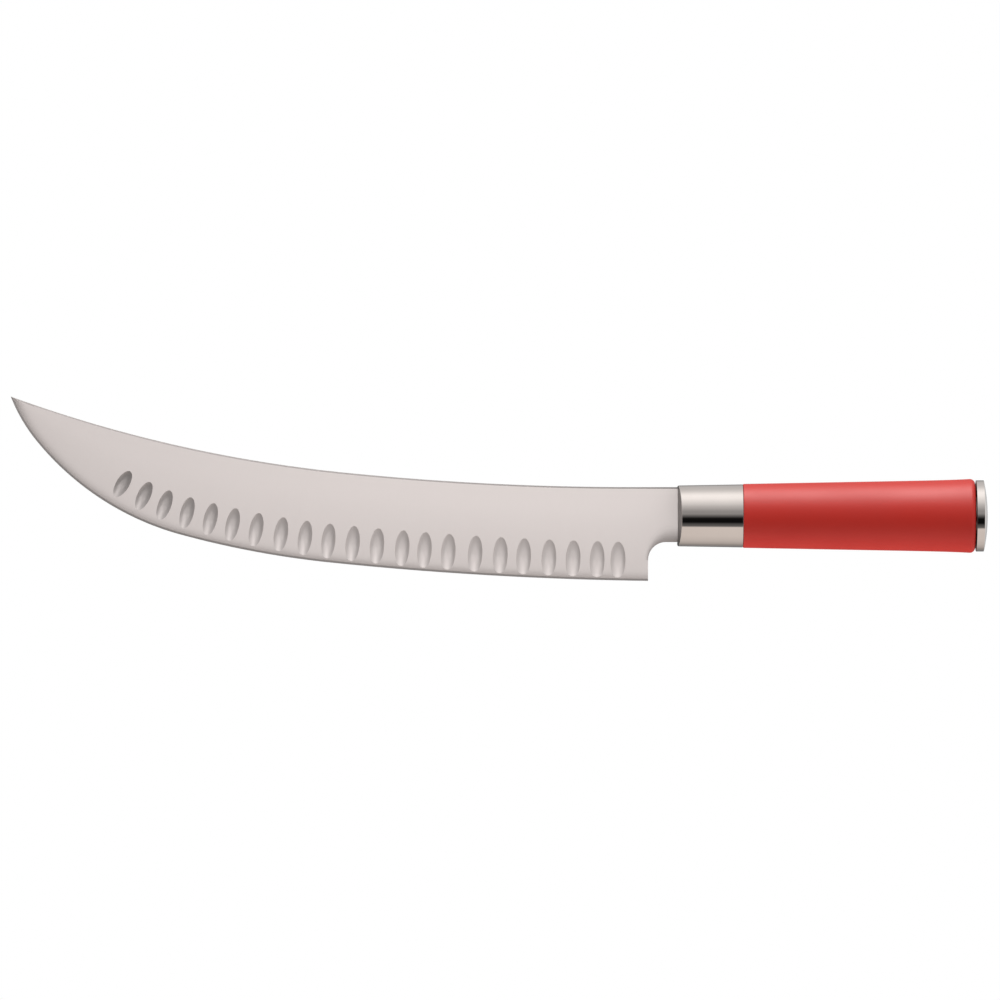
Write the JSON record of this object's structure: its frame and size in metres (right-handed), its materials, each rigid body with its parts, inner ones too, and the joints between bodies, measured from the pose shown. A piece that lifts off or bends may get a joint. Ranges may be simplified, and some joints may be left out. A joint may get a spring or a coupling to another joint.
{
  "type": "butcher knife",
  "caption": "Upswept butcher's slicing knife: satin blade with hollow-ground scallops, polished ferrule and end cap on a round red through-bolted grip.",
  "frame": {"origin": "centre of the small flat on the end cap, on the handle's axis", "axes": "+X along the handle's axis from the blade to the butt, +Y across the blade's thickness, +Z from the cutting edge to the spine"},
  "size_m": [0.3804, 0.0288, 0.0718],
  "materials": {
    "satin_blade_steel": "stainless steel, satin ground across the blade",
    "polished_steel": "stainless steel, mirror polished",
    "red_plastic": "smooth moulded plastic, satin",
    "grey_moulded_plastic": "moulded plastic, dull",
    "zinc_plated_steel": "zinc-plated fastener steel",
    "black_rubber": "soft rubber, dull"
  },
  "bodies": {
    "root": {"blade": "satin_blade_steel", "ferrule": "polished_steel", "tang_bush": "grey_moulded_plastic", "grip": "red_plastic", "tie_rod": "zinc_plated_steel", "washer": "zinc_plated_steel", "clamp_nut": "zinc_plated_steel", "cap_seal": "black_rubber", "end_cap": "polished_steel"}
  },
  "joints": []
}
